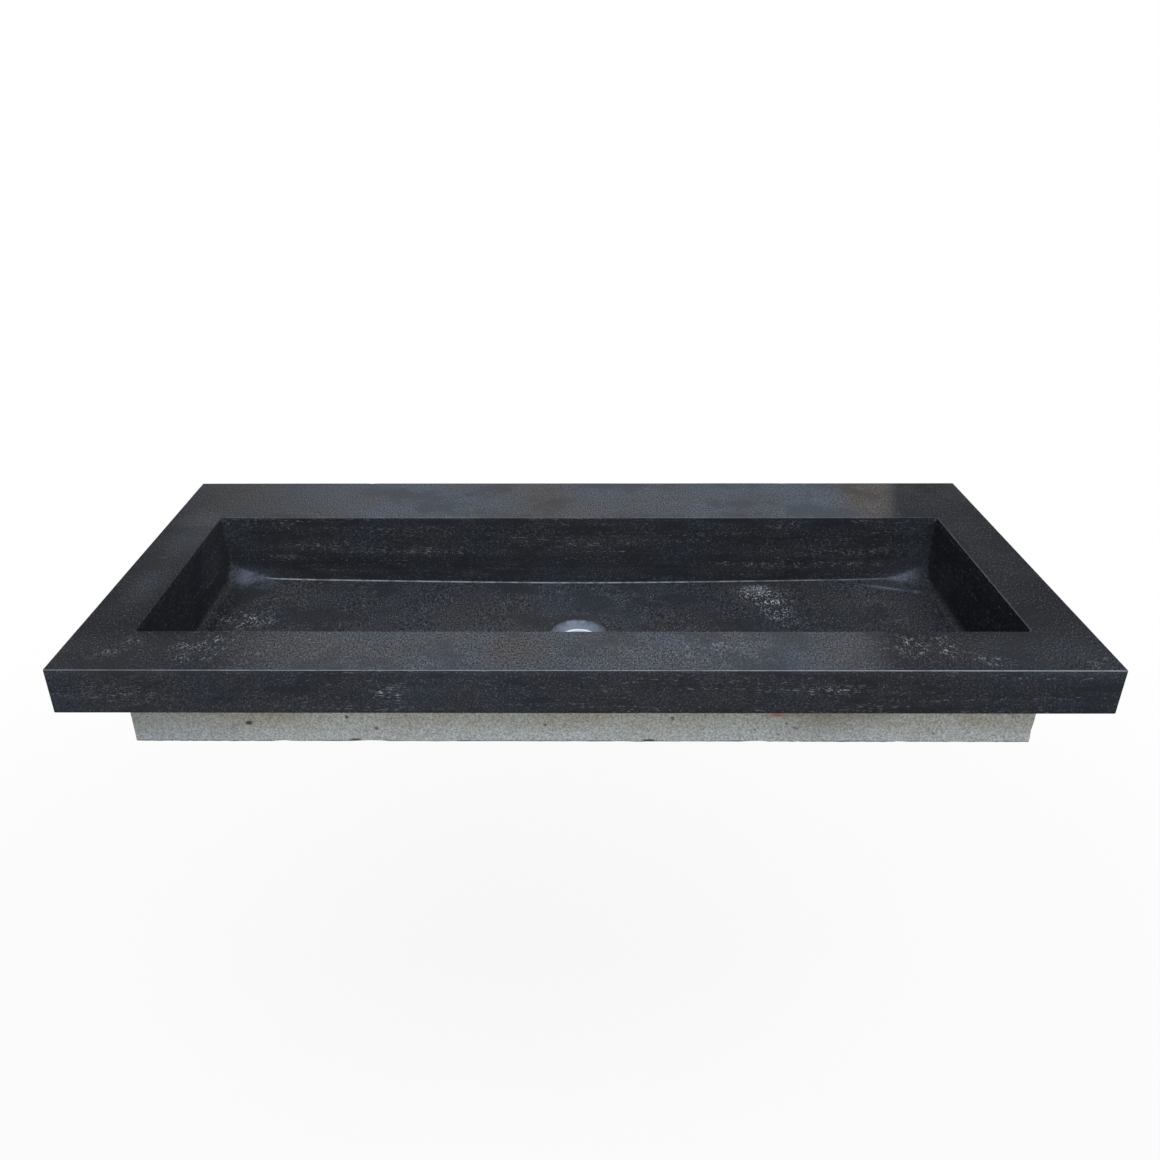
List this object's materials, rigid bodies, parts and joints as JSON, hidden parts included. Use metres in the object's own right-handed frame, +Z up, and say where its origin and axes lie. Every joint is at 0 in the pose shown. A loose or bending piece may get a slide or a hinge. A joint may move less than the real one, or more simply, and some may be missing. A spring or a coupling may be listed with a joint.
{
  "type": "stone washbasin",
  "caption": "Rectangular carved stone washbasin with a thick overhanging rim, a wide shallow bowl and a push-to-open basin waste.",
  "frame": {"origin": "On the waste axis, in the plane of the rim's underside, where the basin rests on its support.", "axes": "+X to the right seen from the front, along the width; +Y from the front edge to the back edge, towards the wall; +Z up."},
  "size_m": [1.05, 0.5, 0.1803],
  "materials": {
    "stone": "honed dark limestone, raw sawn grey below the rim",
    "chrome": "satin chrome plate",
    "brass": "turned brass",
    "steel": "turned stainless steel",
    "rubber": "matt black rubber",
    "plastic": "natural white acetal"
  },
  "bodies": {
    "basin": {"stone_basin": "stone", "waste_body": "chrome", "flange_gasket": "rubber", "lower_seal": "rubber", "friction_washer": "plastic", "back_nut": "brass", "cartridge_body": "brass", "cartridge_cap": "brass", "rod_seal": "rubber", "cartridge_spring": "steel"},
    "plug": {"plug_cap": "chrome", "plug_seal": "rubber", "seal_retainer": "plastic", "plunger": "steel"},
    "rotor": {"latch_rotor": "plastic"}
  },
  "joints": [
    {"name": "plug_lift", "type": "slide", "parent": "basin", "child": "plug", "axis": [0, 0, 1], "range_m": [0, 0.009], "deforming": ["cartridge_spring"]},
    {"name": "rotor_turn", "type": "hinge", "parent": "plug", "child": "rotor", "pos_m": [0, 0, -0.0823], "axis": [0, 0, 1], "range_deg": [0, 45]}
  ],
  "couplings": [
    {"joint": "rotor_turn", "follows": "plug_lift", "rad_per_m": 87.2}
  ]
}
